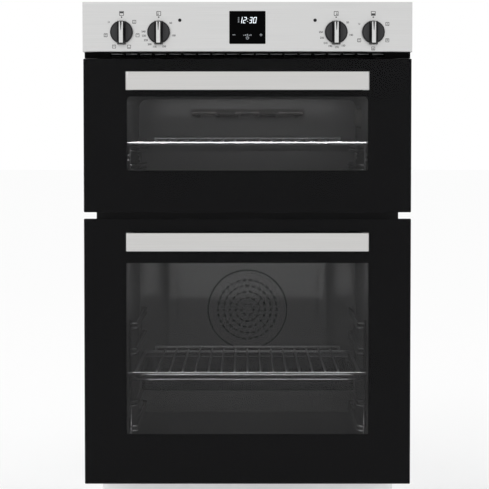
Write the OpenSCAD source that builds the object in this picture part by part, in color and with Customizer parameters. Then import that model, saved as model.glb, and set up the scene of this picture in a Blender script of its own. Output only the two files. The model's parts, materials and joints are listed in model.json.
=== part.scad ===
// Built-in double wall oven: a small grill oven above a large fan oven, each behind a drop-down door.
// X runs to the right, Y into the kitchen cabinet and Z up. The origin is the middle of the base,
// in the plane of the cabinet's front edge. The doors and the control fascia stand in front of it.

/* [Overall] */
// Width of the control fascia
front_w = 595; // [490:1:760]
// Height of the control fascia
fascia_h = 90; // [82:1:120]
// Height of the upper door
upper_door_h = 277.5; // [231:0.5:380]
// Height of the lower door
lower_door_h = 484; // [400:0.5:600]
// Gap between the two doors
door_gap = 11.5; // [6:0.5:20]
// Gap between the upper door and the fascia, where the cooling air comes out
vent_gap = 12; // [10:0.5:20]
// Height of the lower door's edge above the base
foot_gap = 3; // [2:0.5:8]
// Depth of the casing
casing_d = 528; // [440:1:650]
// Overhang of the fascia past the casing on each side
overhang = 21.5; // [18:0.5:28]
// Drop of the casing's top below the fascia's top edge
top_drop = 10; // [6:1:20]

/* [Casing] */
// Thickness of the galvanised panels
sheet = 0.8; // [0.6:0.1:1.2]
// Thickness of the base and the top cover
deck_t = 1; // [0.8:0.1:1.6]
// Thickness of the front frame
frame_t = 1.5; // [1.2:0.1:2.5]
// Height of the front frame's top above the upper door's edge, negative when below
frame_drop = 8; // [6:1:12]
// Radius of the holes in the fixing ears
fixing_r = 2.5; // [1.5:0.1:3]
// Distance from the casing's side to the middle of a fixing hole
fixing_out = 8; // [7:0.5:9]
// Height of the lower pair of fixing holes
fixing_low = 150; // [100:1:180]
// Height of the upper pair of fixing holes above the upper door's lower edge
fixing_high = 201.5; // [120:0.5:206]
// Radius of the hole through the cable gland
gland_r = 6.5; // [5:0.1:7.5]

/* [Ovens] */
// Space between the casing's side and each oven's cavity
cavity_side = 54; // [46:1:64]
// Space behind each cavity
cavity_back = 98; // [90:1:120]
// Thickness of the enamelled steel
cavity_wall = 1.2; // [1:0.1:2]
// Radius of the cavity's long corners
cavity_r = 18; // [10:1:24]
// Height of the main oven's floor above the lower door's edge
main_floor_up = 65; // [60:1:75]
// Drop of the main oven's ceiling below the lower door's top edge
main_ceiling_down = 66.5; // [60:0.5:75]
// Height of the grill oven's floor above the upper door's edge
grill_floor_up = 52; // [50:1:60]
// Drop of the grill oven's ceiling below the upper door's top edge
grill_ceiling_down = 64; // [60:1:75]
// Thickness of the mineral wool round each cavity
wool_t = 18; // [12:1:19]
// Radius of the rack rods
rack_r = 2.5; // [2:0.1:3]
// Distance between the shelf levels
level_pitch = 47.5; // [38:0.5:57]
// Radius of the rods that frame a shelf
shelf_r = 3; // [2.5:0.1:3.5]
// Radius of a shelf's wires
wire_r = 1.75; // [1.4:0.05:2.1]
// Distance between a shelf's wires
wire_pitch = 23.9; // [19:0.1:29]
// Depth of the baking tray
tray_h = 22; // [18:1:27]
// Thickness of the baking tray
tray_t = 1; // [0.8:0.1:1.4]
// Radius of the perforated disc in front of the fan
disc_r = 84; // [70:1:95]

/* [Doors] */
// Distance from the cabinet's front edge to the front of the glass
front_y = 40; // [36:1:48]
// Distance from the cabinet's front edge to the door's rear face
rear_y = 6; // [5:0.5:7]
// Thickness of the outer glass
glass_t = 4; // [3.2:0.1:4.8]
// Thickness of the inner glass
pane_t = 4; // [3:0.1:4.8]
// Thickness of the middle glass
middle_t = 3; // [2.5:0.1:3.6]
// How much narrower than the fascia a door is, on each side
door_inset = 1.2; // [0.5:0.1:3]
// Thickness of the door's steel profiles
profile_t = 1.5; // [1.2:0.1:1.8]
// Height of the hinge pin above the door's lower edge
pin_up = 17.5; // [17:0.1:18]
// Radius of the hinge pin
pin_r = 4; // [3.3:0.1:4.8]
// Radial play of pins and shafts that turn
play = 0.05; // [0.02:0.01:0.09]

/* [Handles] */
// Height of the flat handle bar
handle_h = 32.5; // [27:0.1:40]
// Thickness of the handle bar
handle_t = 8; // [6.5:0.5:10]
// Space for the fingers behind the bar
finger_gap = 30; // [25:1:36]
// Width of the posts at the bar's ends
post_w = 10; // [8:0.5:12]
// Distance from a door's side to the handle's end
handle_in = 78.3; // [60:0.1:90]
// Distance from a door's top edge to the handle's top
handle_down = 24.5; // [20:0.5:32]

/* [Controls] */
// Radius of the knobs
knob_r = 20.5; // [17.5:0.5:25.2]
// Distance from the fascia's end to the outer knob
knob_in = 70.7; // [60:0.1:75]
// Distance between the two knobs of a pair
knob_pitch = 66.9; // [62:0.1:75]
// Height of the knobs above the fascia's lower edge
knob_up = 35.6; // [32:0.1:40]
// Radius of the knob shafts
shaft_r = 3; // [2.5:0.1:3.6]
// Width of the timer's glass
display_w = 65; // [54:0.5:77]
// Height of the timer's glass
display_h = 58.9; // [50:0.1:66]
// Height of the timer's middle above the fascia's lower edge
display_up = 44; // [40:0.1:48]
// Radius of the pilot lamps
pilot_r = 3; // [2.5:0.1:4]

/* [Hidden] */
$fn = 48;
eps = 0.01;

// Heights of the three front pieces
low_z0 = foot_gap;
low_z1 = low_z0 + lower_door_h;
up_z0 = low_z1 + door_gap;
up_z1 = up_z0 + upper_door_h;
fascia_z0 = up_z1 + vent_gap;
fascia_z1 = fascia_z0 + fascia_h;
casing_z1 = fascia_z1 - top_drop;
frame_z1 = up_z1 - frame_drop;
LOWER = [low_z0, low_z1];
UPPER = [up_z0, up_z1];

// Casing and cavities
casing_x = front_w / 2 - overhang;
panel_x = casing_x - sheet;
panel_y = casing_d - sheet;
cavity_x = casing_x - cavity_side;
cavity_d = casing_d - cavity_back;
MAIN = [low_z0 + main_floor_up, low_z1 - main_ceiling_down];
GRILL = [up_z0 + grill_floor_up, up_z1 - grill_ceiling_down];
wall_y = cavity_d + cavity_wall;
wool_y = wall_y + wool_t;
fixing_x = casing_x + fixing_out;
fixing_zs = [fixing_low, up_z0 + fixing_high];
ear_x = casing_x + 2 * fixing_out - 1;
ear_h = 30;

// Doors and hinges
door_x = front_w / 2 - door_inset;
glass_back = front_y - glass_t;
profile_x0 = cavity_x + 16;
profile_x1 = casing_x;
hinge_x = profile_x0 + 12;
hinge_y = 20;
arm_t = 5;
arm_end = 30;
eye_r = pin_r + 5;
hinge_slot_w = 2 * arm_t;
slot_up = 14;
hem_up = 6.5;
pane_up = 34;
trim_h = 14.5;
screw_r = 2.5;

// Handles
handle_x = door_x - handle_in;
bar_y = front_y + finger_gap;
handle_y = bar_y + handle_t;
function handle_z(d) = d[1] - handle_down - handle_h / 2;

// Controls
fascia_t = 1;
fascia_x = front_w / 2;
knob_z = fascia_z0 + knob_up;
outer_knob_x = fascia_x - knob_in;
inner_knob_x = outer_knob_x - knob_pitch;
KNOB_XS = [-outer_knob_x, -inner_knob_x, inner_knob_x, outer_knob_x];
knob_gap = 0.8;
knob_base_t = 7;
knob_y = front_y + knob_gap;
blade_y = knob_y + knob_base_t + 13;
insert_y = blade_y + 1.8;
blade_w0 = 15.6;
blade_w1 = 11;
blade_up = knob_r - 0.5;
blade_down = knob_r + 1.9;
insert_w = 7.2;
insert_up = blade_up - 2.2;
insert_down = blade_down - 2.6;
bracket_y = 14;
bracket_t = 1;
switch_w = 38;
switch_d = 32;
display_z = fascia_z0 + display_up;
display_t = 2.4;
display_fit = 0.2;
pilot_x = inner_knob_x - 38;
pilot_z = fascia_z0 + 57;

// Cooling fan
wheel_y = 300;
wheel_r = 55;
duct_z0 = frame_z1 + 1;
duct_z1 = fascia_z0 - 2;
duct_t = 1;
outlet_y = 3;
volute_r = wheel_r + 6;
volute_z1 = duct_z1 + 36;

// Fan cover, fan and ring element of the main oven
cover_d = 39;
cover_x = cavity_x - 62;
cover_y = cavity_d - cover_d;
cover_z0 = MAIN[0] + 12;
cover_z1 = MAIN[1] - 8;
fan_z = MAIN[1] - 137;
fan_r = 72;
fan_shaft_r = 4;
motor_r = 36;
ring_r = disc_r + 16;
ring_y = cavity_d - 18;
element_r = 3.2;
tail_angle = 14;
tail_x = ring_r * sin(tail_angle);
tail_z = fan_z - ring_r * cos(tail_angle);

// Lamps: one in the main oven's rear wall, one in the grill oven's right wall
lamp_r = 18;
lamp_body_r = 14;
main_lamp_x = cavity_x - 30;
main_lamp_z = MAIN[1] - 21;
grill_lamp_y = 250;
grill_lamp_z = GRILL[1] - 40;

// Cable gland
gland_x = -(casing_x - 86);
gland_z = casing_z1 - 73;
gland_nut_r = gland_r + 4.5;

// Racks, shelves and tray
rest_gap = 0.3;
rack_y0 = 28;
rack_y1 = cavity_d - 59;
rack_x = cavity_x - 5;
rung_x = rack_x - 12;
rung_split = 8.8;
first_level = 22.4;
main_levels = floor((MAIN[1] - MAIN[0] - 100) / level_pitch);
grill_levels = 2;
grill_pitch = 35.2;
shelf_x = rung_x + 2;
shelf_y0 = 4;
shelf_end = 2.5;
shelf_y1 = cavity_d - 54;
shelf_corner = 20;
weld = 0.6;
main_rung = MAIN[0] + first_level + 2 * level_pitch;
grill_rung = GRILL[0] + first_level + 0.6 + grill_pitch;
tray_x = rung_x + 4;
tray_y0 = 10;
tray_corner = 28;
flange_w = 11.5;

// A box between two corners
module block(x0, x1, y0, y1, z0, z1) {
    translate([x0, y0, z0]) cube([x1 - x0, y1 - y0, z1 - z0]);
}

// Both sides of the oven
module both_sides() {
    children();
    mirror([1, 0, 0]) children();
}

module rod_x(x0, x1, y, z, r) {
    translate([x0, y, z]) rotate([0, 90, 0]) cylinder(h = x1 - x0, r = r);
}

module rod_y(y0, y1, x, z, r) {
    translate([x, y0, z]) rotate([-90, 0, 0]) cylinder(h = y1 - y0, r = r);
}

module rod_z(z0, z1, x, y, r) {
    translate([x, y, z0]) cylinder(h = z1 - z0, r = r);
}

// A flat outline in X and Z, between two depths
module plate_y(y0, y1) {
    translate([0, y1, 0]) rotate([90, 0, 0]) linear_extrude(y1 - y0) children();
}

// A flat outline in Y and Z, between two places across the oven
module plate_x(x0, x1) {
    translate([x0, 0, 0]) rotate([90, 0, 90]) linear_extrude(x1 - x0) children();
}

// A flat outline in X and Y, between two heights
module plate_z(z0, z1) {
    translate([0, 0, z0]) linear_extrude(z1 - z0) children();
}

// A rectangle with round corners
module rounded(a0, a1, b0, b1, r) {
    translate([a0 + r, b0]) square([a1 - a0 - 2 * r, b1 - b0]);
    translate([a0, b0 + r]) square([a1 - a0, b1 - b0 - 2 * r]);
    for (a = [a0 + r, a1 - r], b = [b0 + r, b1 - r]) translate([a, b]) circle(r);
}

// A slot with round ends, centred, as long as its first size
module slot(length, w) {
    square([length - w, w], center = true);
    for (s = [-1, 1]) translate([s * (length - w) / 2, 0]) circle(w / 2);
}

// A bend of round rod in the plane of X and Y, from one angle through a turn
module bend_z(x, y, z, radius, r, from, turn) {
    translate([x, y, z]) rotate([0, 0, from]) rotate_extrude(angle = turn, $fn = 96)
        translate([radius, 0]) circle(r, $fn = 24);
}

// ---- Casing ----

module base_plate() color("silver") {
    foot_x = casing_x - 60;
    difference() {
        block(-casing_x, casing_x, 0, casing_d, 0, deck_t);
        for (x = [-foot_x, foot_x], y = [60 : 40 : casing_d - 90])
            translate([x, y, -eps]) linear_extrude(deck_t + 2 * eps) slot(46, 5);
    }
}

// The right side panel, with pressed-in ribs and cooling slots near the top
module side_panel() {
    rib_depth = 1.4;
    rib_ys = [90, casing_d - 90];
    module rib_line(y, w) {
        translate([y, 0]) rounded(-w / 2, w / 2, 60, casing_z1 - 150, w / 2 - 0.2);
    }
    difference() {
        union() {
            block(panel_x, casing_x, 0, casing_d, deck_t, casing_z1 - deck_t);
            for (y = rib_ys) plate_x(panel_x - rib_depth, panel_x + eps) rib_line(y, 18);
            block(panel_x - 12, casing_x, panel_y - sheet, panel_y, deck_t, casing_z1 - deck_t);
        }
        for (y = rib_ys) plate_x(casing_x - rib_depth, casing_x + eps) rib_line(y, 14);
        for (y = [190 : 24 : casing_d - 150])
            plate_x(panel_x - 1, casing_x + 1) translate([y, casing_z1 - 60]) rotate([0, 0, 90]) slot(50, 5);
    }
}

module left_side_panel() color("silver") mirror([1, 0, 0]) side_panel();

module right_side_panel() color("silver") side_panel();

module rear_panel() color("silver") {
    swage_x = casing_x - 76;
    difference() {
        union() {
            block(-panel_x, panel_x, panel_y, casing_d, deck_t, casing_z1 - deck_t);
            for (z = [120, 330])
                plate_y(panel_y - 1.2, panel_y + eps) rounded(-swage_x, swage_x, z, z + 120, 12);
        }
        for (z = [120, 330])
            plate_y(casing_d - 1.2, casing_d + eps) rounded(-swage_x + 2, swage_x - 2, z + 2, z + 118, 10);
        for (x = [-60 : 20 : panel_x - 60], z = [casing_z1 - 330, casing_z1 - 270])
            plate_y(panel_y - 3, casing_d + 1) translate([x, z]) rotate([0, 0, 90]) slot(44, 6);
        rod_y(panel_y - 1, casing_d + 1, gland_x, gland_z, gland_nut_r);
    }
}

module top_cover() color("silver") {
    vent_y = wheel_y + 130;
    difference() {
        block(-casing_x, casing_x, 0, casing_d, casing_z1 - deck_t, casing_z1);
        for (x = [-100 : 20 : 100]) translate([x, wheel_y, casing_z1 - deck_t - eps])
            linear_extrude(deck_t + 2 * eps) rotate([0, 0, 90]) slot(90, 6);
        for (x = [-casing_x + 70 : 24 : casing_x - 70]) if (vent_y + 20 < casing_d)
            translate([x, vent_y, casing_z1 - deck_t - eps])
                linear_extrude(deck_t + 2 * eps) rotate([0, 0, 90]) slot(30, 5);
    }
}

// The stamped plate that the ovens, hinges and seals are fixed to, with its four fixing ears
module front_frame() color("dimgray") {
    difference() {
        plate_y(-frame_t, 0) union() {
            translate([-casing_x, 0]) square([2 * casing_x, frame_z1]);
            for (z = fixing_zs) rounded(-ear_x, ear_x, z - ear_h / 2, z + ear_h / 2, 4);
        }
        for (zs = [MAIN, GRILL])
            plate_y(-frame_t - 1, 1) rounded(-cavity_x, cavity_x, zs[0], zs[1], cavity_r);
        for (x = [-hinge_x, hinge_x], d = [LOWER, UPPER])
            block(x - hinge_slot_w / 2, x + hinge_slot_w / 2, -frame_t - 1, 1,
                d[0] + pin_up - 12, d[0] + pin_up + 30);
        for (x = [-fixing_x, fixing_x], z = fixing_zs) rod_y(-frame_t - 1, 1, x, z, fixing_r);
    }
}

// ---- Ovens ----

// An enamelled box with round long edges, open at the front
module cavity_shell(zs) {
    w = cavity_wall;
    difference() {
        plate_y(0, wall_y) rounded(-cavity_x - w, cavity_x + w, zs[0] - w, zs[1] + w, cavity_r + w);
        plate_y(-1, cavity_d) rounded(-cavity_x, cavity_x, zs[0], zs[1], cavity_r);
    }
}

module main_cavity() color("darkslategray") {
    difference() {
        cavity_shell(MAIN);
        rod_y(cavity_d - 1, wall_y + 1, 0, fan_z, fan_shaft_r + 2);
        rod_y(cavity_d - 1, wall_y + 1, main_lamp_x, main_lamp_z, lamp_body_r);
        for (s = [-1, 1]) rod_y(cavity_d - 1, wall_y + 1, s * tail_x, tail_z, element_r + 2);
    }
}

module grill_cavity() color("darkslategray") {
    rib_z = (GRILL[0] + GRILL[1]) / 2 + 36;
    difference() {
        union() {
            cavity_shell(GRILL);
            plate_y(cavity_d - 2, cavity_d + eps)
                rounded(-cavity_x + 3, cavity_x - 3, rib_z - 3, rib_z + 2, 2.3);
        }
        rod_x(cavity_x - 1, cavity_x + cavity_wall + 1, grill_lamp_y, grill_lamp_z, lamp_body_r);
    }
}

// Mineral wool round both cavities
module insulation() color("khaki") {
    for (i = [0, 1]) {
        zs = [MAIN, GRILL][i];
        t = cavity_wall + wool_t;
        difference() {
            plate_y(2, wool_y) rounded(-cavity_x - t, cavity_x + t, zs[0] - t, zs[1] + t, cavity_r);
            plate_y(0, wall_y) rounded(-cavity_x - cavity_wall, cavity_x + cavity_wall,
                zs[0] - cavity_wall, zs[1] + cavity_wall, cavity_r + cavity_wall);
            if (i == 1)
                rod_x(cavity_x + cavity_wall - 1, cavity_x + t + 1, grill_lamp_y, grill_lamp_z, lamp_body_r);
            if (i == 0) {
                rod_y(wall_y - 1, wool_y + 1, main_lamp_x, main_lamp_z, lamp_body_r);
                rod_y(wall_y - 1, wool_y + 1, 0, fan_z, fan_shaft_r + 4);
                for (s = [-1, 1]) rod_y(wall_y - 1, wool_y + 1, s * tail_x, tail_z, element_r + 3);
            }
        }
    }
}

// Silicone seals on the front frame, round each oven's mouth
module door_seals() color("dimgray") {
    seal_w = 8;
    seal_in = 2;
    y0 = -rear_y + rest_gap;
    for (zs = [MAIN, GRILL]) difference() {
        o = seal_in + seal_w;
        plate_y(y0, -frame_t) rounded(-cavity_x - o, cavity_x + o, zs[0] - o, zs[1] + o, cavity_r + o);
        plate_y(y0 - 1, 0) rounded(-cavity_x - seal_in, cavity_x + seal_in,
            zs[0] - seal_in, zs[1] + seal_in, cavity_r + seal_in);
    }
}

// The pressed cover in front of the fan, with a perforated disc and side outlets
module fan_cover() color("slategray") {
    cover_t = 1;
    recess = 3;
    rings = 6;
    difference() {
        union() {
            difference() {
                plate_y(cover_y, cavity_d) rounded(-cover_x, cover_x, cover_z0, cover_z1, 12);
                plate_y(cover_y + cover_t, cavity_d + 1) rounded(-cover_x + cover_t,
                    cover_x - cover_t, cover_z0 + cover_t, cover_z1 - cover_t, 11);
            }
            rod_y(cover_y, cover_y + recess + cover_t, 0, fan_z, disc_r);
        }
        rod_y(cover_y - 1, cover_y + recess, 0, fan_z, disc_r - 2);
        // Rings of slots, which get longer further out
        for (ring = [1 : rings]) {
            r = ring * (disc_r - 12) / rings;
            count = 6 * ring;
            for (i = [0 : count - 1])
                plate_y(cover_y + recess - 1, cover_y + recess + cover_t + 1)
                    translate([0, fan_z]) rotate([0, 0, (i + ring / 2) * 360 / count])
                        translate([0, r]) slot(2 * PI * r / count - 4, 4.4);
        }
        // Upright outlets on both sides
        for (x = [-cover_x + 18, cover_x - 18], z = [fan_z - 110, fan_z, fan_z + 60])
            plate_y(cover_y - 1, cover_y + cover_t + 1) translate([x, z]) rotate([0, 0, 90]) slot(48, 5);
    }
}

// A round fan heater with two tails through the rear wall
module ring_element() color("dimgray") {
    translate([0, ring_y, fan_z]) rotate([90, 0, 0]) rotate([0, 0, tail_angle - 90])
        rotate_extrude(angle = 360 - 2 * tail_angle, $fn = 96)
            translate([ring_r, 0]) circle(element_r, $fn = 24);
    for (s = [-1, 1]) {
        rod_y(ring_y - element_r - 0.5, wool_y + 12, s * tail_x, tail_z, element_r + 0.5);
        rod_y(cavity_d - 2, cavity_d, s * tail_x, tail_z, element_r + 4);
    }
}

// A grill heater: a zigzag of tube under the ceiling, on a plate at the rear wall
module grill_element() color("dimgray") {
    z = GRILL[1] - 34;
    step = 40;
    inner = 2.5 * step;
    front = 60;
    back = cavity_d - 80;
    plate_end = cavity_d - 4;
    for (i = [0 : 5]) {
        x = -inner + i * step;
        rod_y(front, (i == 0 || i == 5) ? plate_end : back, x, z, element_r);
    }
    for (i = [0, 2, 4]) bend_z(-inner + (i + 0.5) * step, front, z, step / 2, element_r, 180, 180);
    for (i = [1, 3]) bend_z(-inner + (i + 0.5) * step, back, z, step / 2, element_r, 0, 180);
    block(-inner - 16, inner + 16, plate_end, cavity_d, z - element_r, z + 14);
}

// A lamp's glass, standing on a wall
module lamp_glass() {
    cylinder(h = 4, r = lamp_r + 2);
    cylinder(h = 10, r = lamp_r);
    translate([0, 0, 10]) cylinder(h = 4, r1 = lamp_r, r2 = lamp_r - 6);
}

module oven_lamps() color("lightyellow") {
    holder = 14;
    translate([main_lamp_x, cavity_d, main_lamp_z]) rotate([90, 0, 0]) lamp_glass();
    rod_y(cavity_d, wool_y + holder, main_lamp_x, main_lamp_z, lamp_body_r);
    translate([cavity_x, grill_lamp_y, grill_lamp_z]) rotate([0, -90, 0]) lamp_glass();
    rod_x(cavity_x, cavity_x + cavity_wall + wool_t + holder, grill_lamp_y, grill_lamp_z, lamp_body_r);
}

// One pair of rods that a shelf or tray slides on, bent out to the uprights at both ends
module rung(z) {
    bend = rack_x - rung_x;
    rod_y(rack_y0 + bend, rack_y1 - bend, rung_x, z, rack_r);
    bend_z(rack_x, rack_y0 + bend, z, bend, rack_r, 180, 90);
    bend_z(rack_x, rack_y1 - bend, z, bend, rack_r, 90, 90);
}

module rack(zs, first, levels, pitch) {
    top = first + (levels - 1) * pitch + rung_split;
    for (y = [rack_y0, rack_y1]) {
        rod_z(first - 8, top + 8, rack_x, y, rack_r + 0.2);
        for (z = [first + pitch / 2, top - pitch / 2])
            rod_x(rack_x, cavity_x, y, z, rack_r + 0.5);
    }
    for (i = [0 : levels - 1], split = [0, rung_split]) rung(first + i * pitch + split);
}

module main_racks() color("silver") {
    both_sides() rack(MAIN, MAIN[0] + first_level, main_levels, level_pitch);
}

module grill_racks() color("silver") {
    both_sides() rack(GRILL, grill_rung - grill_pitch, grill_levels, grill_pitch);
}

// A wire shelf whose side rods rest on the upper rods at a given height, with a wide front rod
module shelf(rung_z) {
    side_r = shelf_r - 0.3;
    z = rung_z + rung_split + rack_r + rest_gap + side_r;
    wire_z = z + shelf_r + wire_r - weld;
    y0 = shelf_y0 + shelf_r;
    y1 = shelf_y1 - shelf_r;
    c = shelf_corner;
    front_x = cavity_x - shelf_end;
    upstand = 9;
    upstand_x = shelf_x - c - 2;
    both_sides() {
        rod_y(y0, y1 - c, shelf_x, z, side_r);
        bend_z(shelf_x - c, y1 - c, z, c, side_r, 0, 90);
        rod_z(z, z + upstand, upstand_x, y1, side_r - 0.3);
    }
    rod_x(-front_x, front_x, y0, z, shelf_r);
    rod_x(-shelf_x + c, shelf_x - c, y1, z, side_r);
    rod_x(-upstand_x - side_r - 0.3, upstand_x + side_r + 0.3, y1, z + upstand, side_r - 0.1);
    half = floor((shelf_x - c - 6) / wire_pitch);
    for (i = [-half : half]) rod_y(y0 - 2, y1 + 2, i * wire_pitch, wire_z, wire_r);
}

module main_shelf() color("lightgray") shelf(main_rung);

module grill_shelf() color("lightgray") shelf(grill_rung);

module tray_outline(inset) {
    rounded(-tray_x + inset, tray_x - inset, tray_y0 + inset, shelf_y1 - inset, tray_corner - inset);
}

// A deep enamelled tray whose flange slides between a pair of rods
module baking_tray() color("dimgray") {
    z = main_rung + rack_r + rest_gap;
    difference() {
        plate_z(z, z + tray_t) tray_outline(0);
        plate_z(z - 1, z + tray_t + 1) tray_outline(flange_w + tray_t);
    }
    difference() {
        plate_z(z - tray_h, z + eps) tray_outline(flange_w);
        plate_z(z - tray_h + tray_t, z + 1) tray_outline(flange_w + tray_t);
    }
}

// ---- Fans and cooling ----

module motor_body(h) {
    difference() {
        union() {
            cylinder(h = h, r = motor_r);
            cylinder(h = 2, r = motor_r + 9);
            translate([0, 0, h]) cylinder(h = 6, r = motor_r / 3);
        }
        translate([0, 0, -1]) cylinder(h = h * 0.7 + 1, r = fan_shaft_r + play);
    }
}

module fan_motors() color("dimgray") {
    translate([0, wool_y, fan_z]) rotate([-90, 0, 0]) motor_body(44);
    // Cooling motor on a bridge over the volute
    difference() {
        union() {
            rod_z(volute_z1 + 2, volute_z1 + 30, 0, wheel_y, motor_r - 10);
            block(-volute_r, volute_r, wheel_y - 9, wheel_y + 9, volute_z1, volute_z1 + 2.5);
        }
        rod_z(volute_z1 - 1, volute_z1 + 22, 0, wheel_y, fan_shaft_r + play);
    }
}

module convection_fan() color("silver") {
    blades = 12;
    hub_r = 11;
    y0 = cover_y + 9;
    y1 = y0 + 20;
    rod_y(y1 - 1.2, y1, 0, fan_z, fan_r - 4);
    rod_y(y0 + 4, y1, 0, fan_z, hub_r);
    rod_y(y0, wool_y + 24, 0, fan_z, fan_shaft_r);
    for (i = [0 : blades - 1]) translate([0, y0, fan_z]) rotate([0, i * 360 / blades, 0])
        block(hub_r - 1, fan_r - 4, 0, y1 - y0, -0.6, 0.6);
}

module cooling_wheel() color("darkgray") {
    blades = 24;
    z0 = duct_z1 + 4;
    z1 = volute_z1 - 5;
    rod_z(z0, z0 + 1.2, 0, wheel_y, wheel_r);
    rod_z(z0, z0 + 12, 0, wheel_y, 10);
    rod_z(z0, volute_z1 + 20, 0, wheel_y, fan_shaft_r);
    difference() {
        rod_z(z1 - 2, z1, 0, wheel_y, wheel_r);
        rod_z(z1 - 3, z1 + 1, 0, wheel_y, wheel_r - 12);
    }
    for (i = [0 : blades - 1]) translate([0, wheel_y, 0]) rotate([0, 0, i * 360 / blades])
        block(wheel_r - 11, wheel_r - 1, -0.5, 0.5, z0, z1);
}

// Outline of the duct: wide at the front and as wide as the scroll at the back
module duct_outline(inset, front_y0) {
    front = casing_x - 20 - inset;
    neck = volute_r + duct_t - inset;
    back = wheel_y + volute_r + duct_t - inset;
    polygon([[-front, front_y0], [front, front_y0], [front, 60], [neck, wheel_y - 60], [neck, back],
        [-neck, back], [-neck, wheel_y - 60], [-front, 60]]);
}

// The scroll round the cooling wheel and the flat duct that leads its air to the front
module cooling_duct() color("silver") {
    t = duct_t;
    difference() {
        union() {
            plate_z(duct_z0, duct_z1) duct_outline(0, -outlet_y);
            rod_z(duct_z1 - eps, volute_z1, 0, wheel_y, volute_r + t);
        }
        plate_z(duct_z0 + t, duct_z1 - t) duct_outline(t, -outlet_y - 1);
        rod_z(duct_z1 - t - 1, volute_z1 - t, 0, wheel_y, volute_r);
        rod_z(volute_z1 - t - 1, volute_z1 + 1, 0, wheel_y, wheel_r - 10);
    }
}

// The louvre under the fascia that the cooling air leaves by
module air_outlet() color("black") {
    x = fascia_x - 3;
    z0 = up_z1 + 1.2;
    side_cells = 9;
    cell = 2 * (casing_x - 26) / (2 * side_cells + 1);
    rib = 4;
    difference() {
        block(-x, x, -glass_back + 6, -outlet_y, z0, fascia_z0);
        for (i = [-side_cells : side_cells])
            block(i * cell - (cell - rib) / 2, i * cell + (cell - rib) / 2, -glass_back - 1, -outlet_y + 1,
                z0 + 2, fascia_z0 - 2);
    }
}

module terminal_box() color("black") {
    z0 = gland_z - 35;
    z1 = gland_z + 35;
    y0 = panel_y - 58;
    x0 = gland_x - 40;
    x1 = gland_x + 40;
    difference() {
        union() {
            block(x0, x1, y0, panel_y, z0, z1);
            rod_y(panel_y - 1, casing_d + 4, gland_x, gland_z, gland_nut_r);
        }
        block(x0 + 2, x1 - 2, y0 + 2, panel_y - 22, z0 + 2, z1 - 2);
        rod_y(panel_y - 23, casing_d + 5, gland_x, gland_z, gland_r);
    }
}

// ---- Controls ----

// A shallow tray with rounded front edges, seen from the front as the brushed fascia
module fascia_form(inset) {
    edge_r = 3;
    y0 = -front_y + inset;
    y1 = -4;
    x = fascia_x - inset;
    intersection() {
        plate_x(-x, x) union() {
            translate([y0 + edge_r, fascia_z0 + inset]) square([y1 - y0 - edge_r, fascia_h - 2 * inset]);
            translate([y0, fascia_z0 + inset + edge_r])
                square([edge_r + 1, fascia_h - 2 * inset - 2 * edge_r]);
            for (z = [fascia_z0 + inset + edge_r, fascia_z1 - inset - edge_r])
                translate([y0 + edge_r, z]) circle(edge_r);
        }
        plate_z(fascia_z0 - 1, fascia_z1 + 1) union() {
            translate([-x, y0 + edge_r]) square([2 * x, y1 - y0 - edge_r]);
            translate([-x + edge_r, y0]) square([2 * x - 2 * edge_r, edge_r + 1]);
            for (s = [-1, 1]) translate([s * (x - edge_r), y0 + edge_r]) circle(edge_r);
        }
    }
}

module control_fascia() color("lightgray") {
    difference() {
        fascia_form(0);
        intersection() {
            fascia_form(fascia_t);
            block(-fascia_x, fascia_x, -front_y, -4 - eps, fascia_z0, fascia_z1);
        }
        block(-fascia_x + fascia_t, fascia_x - fascia_t, -5, -3, fascia_z0 + fascia_t, fascia_z1 - fascia_t);
        block(-fascia_x + fascia_t, fascia_x - fascia_t, -20, -3, fascia_z0 - 1, fascia_z0 + 10);
        for (x = KNOB_XS) rod_y(-front_y - 1, -front_y + 5, x, knob_z, shaft_r + 4);
        for (x = [-pilot_x, pilot_x])
            rod_y(-front_y - 1, -front_y + 5, x, pilot_z, pilot_r + play);
        plate_y(-front_y - 1, -front_y + 5) rounded(-display_w / 2 - display_fit,
            display_w / 2 + display_fit, display_z - display_h / 2 - display_fit,
            display_z + display_h / 2 + display_fit, 1.5);
    }
}

// The plate behind the fascia that carries the switches and the timer
module control_bracket() color("silver") {
    z0 = fascia_z0 + 4;
    z1 = fascia_z1 - 6;
    y1 = -bracket_y + bracket_t;
    difference() {
        union() {
            block(-panel_x, panel_x, -bracket_y, y1, z0, z1);
            for (s = [-1, 1]) {
                x0 = s > 0 ? panel_x - 1 : -panel_x;
                block(x0, x0 + 1, -bracket_y, 24, z0, z1 - top_drop);
            }
            // Forward lip that the fascia is clipped to
            block(-panel_x, panel_x, -front_y + fascia_t, -bracket_y + eps, z1 - 1, z1);
            block(-panel_x, panel_x, -front_y + fascia_t, -front_y + fascia_t + 1, z1 - 4, z1);
        }
        for (x = KNOB_XS) rod_y(-bracket_y - 1, y1 + 1, x, knob_z, shaft_r + 2.5);
        block(-30, 30, -bracket_y - 1, y1 + 1, display_z - 20, display_z + 20);
    }
}

module display_glass() color("black") {
    plate_y(-front_y - 0.2, -front_y - 0.2 + display_t) rounded(-display_w / 2, display_w / 2,
        display_z - display_h / 2, display_z + display_h / 2, 1.3);
}

module timer_module() color("darkgreen") {
    x = display_w / 2 + 12;
    y0 = -front_y - 0.2 + display_t;
    block(-x, x, y0, -bracket_y, display_z - display_h / 2 - 4, display_z + display_h / 2 + 4);
}

// Four rotary switches behind the bracket, each with a bush that its shaft turns in
module switch_bodies() color("ivory") {
    y0 = -bracket_y + bracket_t;
    for (x = KNOB_XS) difference() {
        union() {
            block(x - switch_w / 2, x + switch_w / 2, y0, y0 + switch_d,
                knob_z - switch_w / 2, knob_z + switch_w / 2);
            rod_y(y0 - 8, y0 + 1, x, knob_z, shaft_r + 2.5);
        }
        rod_y(y0 - 9, y0 + 18, x, knob_z, shaft_r + play);
    }
}

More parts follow.
